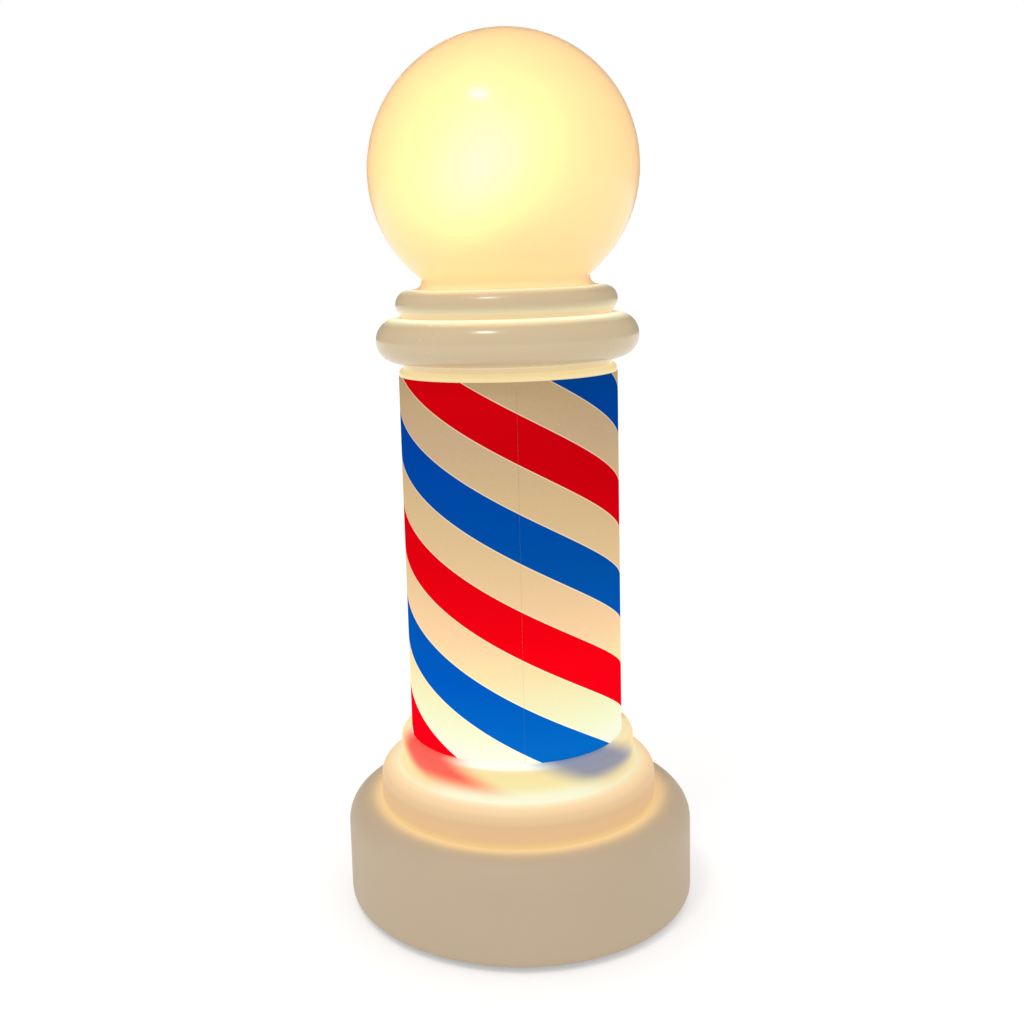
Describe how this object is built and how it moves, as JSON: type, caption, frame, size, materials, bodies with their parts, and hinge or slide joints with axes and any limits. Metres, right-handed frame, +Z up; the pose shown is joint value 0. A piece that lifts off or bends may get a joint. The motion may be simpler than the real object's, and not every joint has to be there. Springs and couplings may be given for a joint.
{
  "type": "barber pole light",
  "caption": "Counter-top barber pole light: opal globe, beaded collar, red and blue striped glowing column, stepped weighted base with rear inlet and rocker switch.",
  "frame": {"origin": "centre of the lamp's footprint, on the surface that its rubber feet stand on", "axes": "+Z up along the lamp's axis; -Y is the front, +Y the back with the inlet and the switch"},
  "size_m": [0.164, 0.164, 0.4035],
  "materials": {
    "opal_base": "satin translucent moulding, lit from inside round the socket",
    "plate_black": "fine texture",
    "screw_steel": "zinc plated",
    "foot_rubber": "matte",
    "ballast_steel": "raw, oiled",
    "board_green": "solder resist",
    "driver_parts": "moulded cases",
    "led_metal": "pressed sheet",
    "board_white": "white solder resist",
    "led_lens": "phosphor, emissive",
    "pipe_brass": "threaded",
    "opal_column": "opal tube, lit from inside",
    "stripe_film": "printed film with red and blue helical stripes on white",
    "opal_collar": "opal moulding, lit from inside at its grooves",
    "holder_white": "moulded",
    "cap_nickel": "rolled thread, nickel plated",
    "bulb_opal": "satin opal, emissive",
    "gasket_silicone": "silicone",
    "opal_globe": "satin opal, emissive",
    "socket_black": "moulded",
    "contact_brass": "turned",
    "rocker_red": "moulded",
    "wire_red": "pvc",
    "wire_black": "pvc"
  },
  "bodies": {
    "lamp": {"base_shell": "opal_base", "base_plate": "plate_black", "plate_screws": "screw_steel", "rubber_feet": "foot_rubber", "ballast_ring": "ballast_steel", "driver_board": "board_green", "driver_parts": "driver_parts", "board_screws": "screw_steel", "led_tray": "led_metal", "led_board": "board_white", "leds": "led_lens", "lamp_pipe": "pipe_brass", "pipe_nuts": "pipe_brass", "pipe_washers": "screw_steel", "column_tube": "opal_column", "stripe_film": "stripe_film", "collar": "opal_collar", "tie_plate": "led_metal", "lamp_holder": "holder_white", "bulb_cap": "cap_nickel", "bulb_body": "holder_white", "bulb_dome": "bulb_opal", "globe_gasket": "gasket_silicone", "power_socket": "socket_black", "socket_pin": "contact_brass", "socket_nut": "screw_steel", "switch_housing": "socket_black", "switch_terminals": "contact_brass", "supply_wires": "wire_red", "led_wires": "wire_black", "bulb_wires": "wire_black"},
    "globe": {"globe": "opal_globe"},
    "rocker": {"switch_rocker": "rocker_red"}
  },
  "joints": [
    {"name": "globe_twist", "type": "hinge", "parent": "lamp", "child": "globe", "pos_m": [0, 0, 0.2902], "axis": [0, 0, 1], "range_deg": [0, 45]},
    {"name": "rocker_tilt", "type": "hinge", "parent": "lamp", "child": "rocker", "pos_m": [0.01, 0.0774, 0.023], "axis": [-1, 0, 0], "range_deg": [0, 24]}
  ]
}
